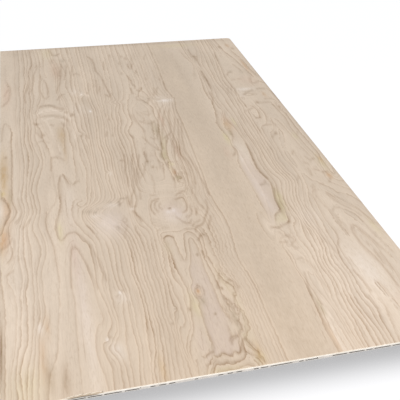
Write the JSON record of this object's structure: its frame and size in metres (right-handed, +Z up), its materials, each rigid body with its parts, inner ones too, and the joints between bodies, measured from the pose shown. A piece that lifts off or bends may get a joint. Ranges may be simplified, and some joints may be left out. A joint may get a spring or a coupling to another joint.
{
  "type": "plywood sheet",
  "caption": "Flat softwood plywood sheet of crossed veneers with a rotary-cut good face and rough sawn edges, lying on its back veneer.",
  "frame": {"origin": "middle of the underside, where the sheet lies on the floor", "axes": "+X across the sheet, +Y along its length and the face grain, +Z up out of the good face"},
  "size_m": [1.22, 2.44, 0.012],
  "materials": {
    "face_wood": "bare sanded softwood face veneer, pale and matt",
    "crossband_wood": "bare sawn veneer edge, rough",
    "core_wood": "bare sawn veneer edge, rough",
    "back_wood": "bare unsanded softwood back veneer, matt"
  },
  "bodies": {
    "root": {"face_veneer": "face_wood", "upper_crossband": "crossband_wood", "core_veneer": "core_wood", "lower_crossband": "crossband_wood", "back_veneer": "back_wood"}
  },
  "joints": []
}
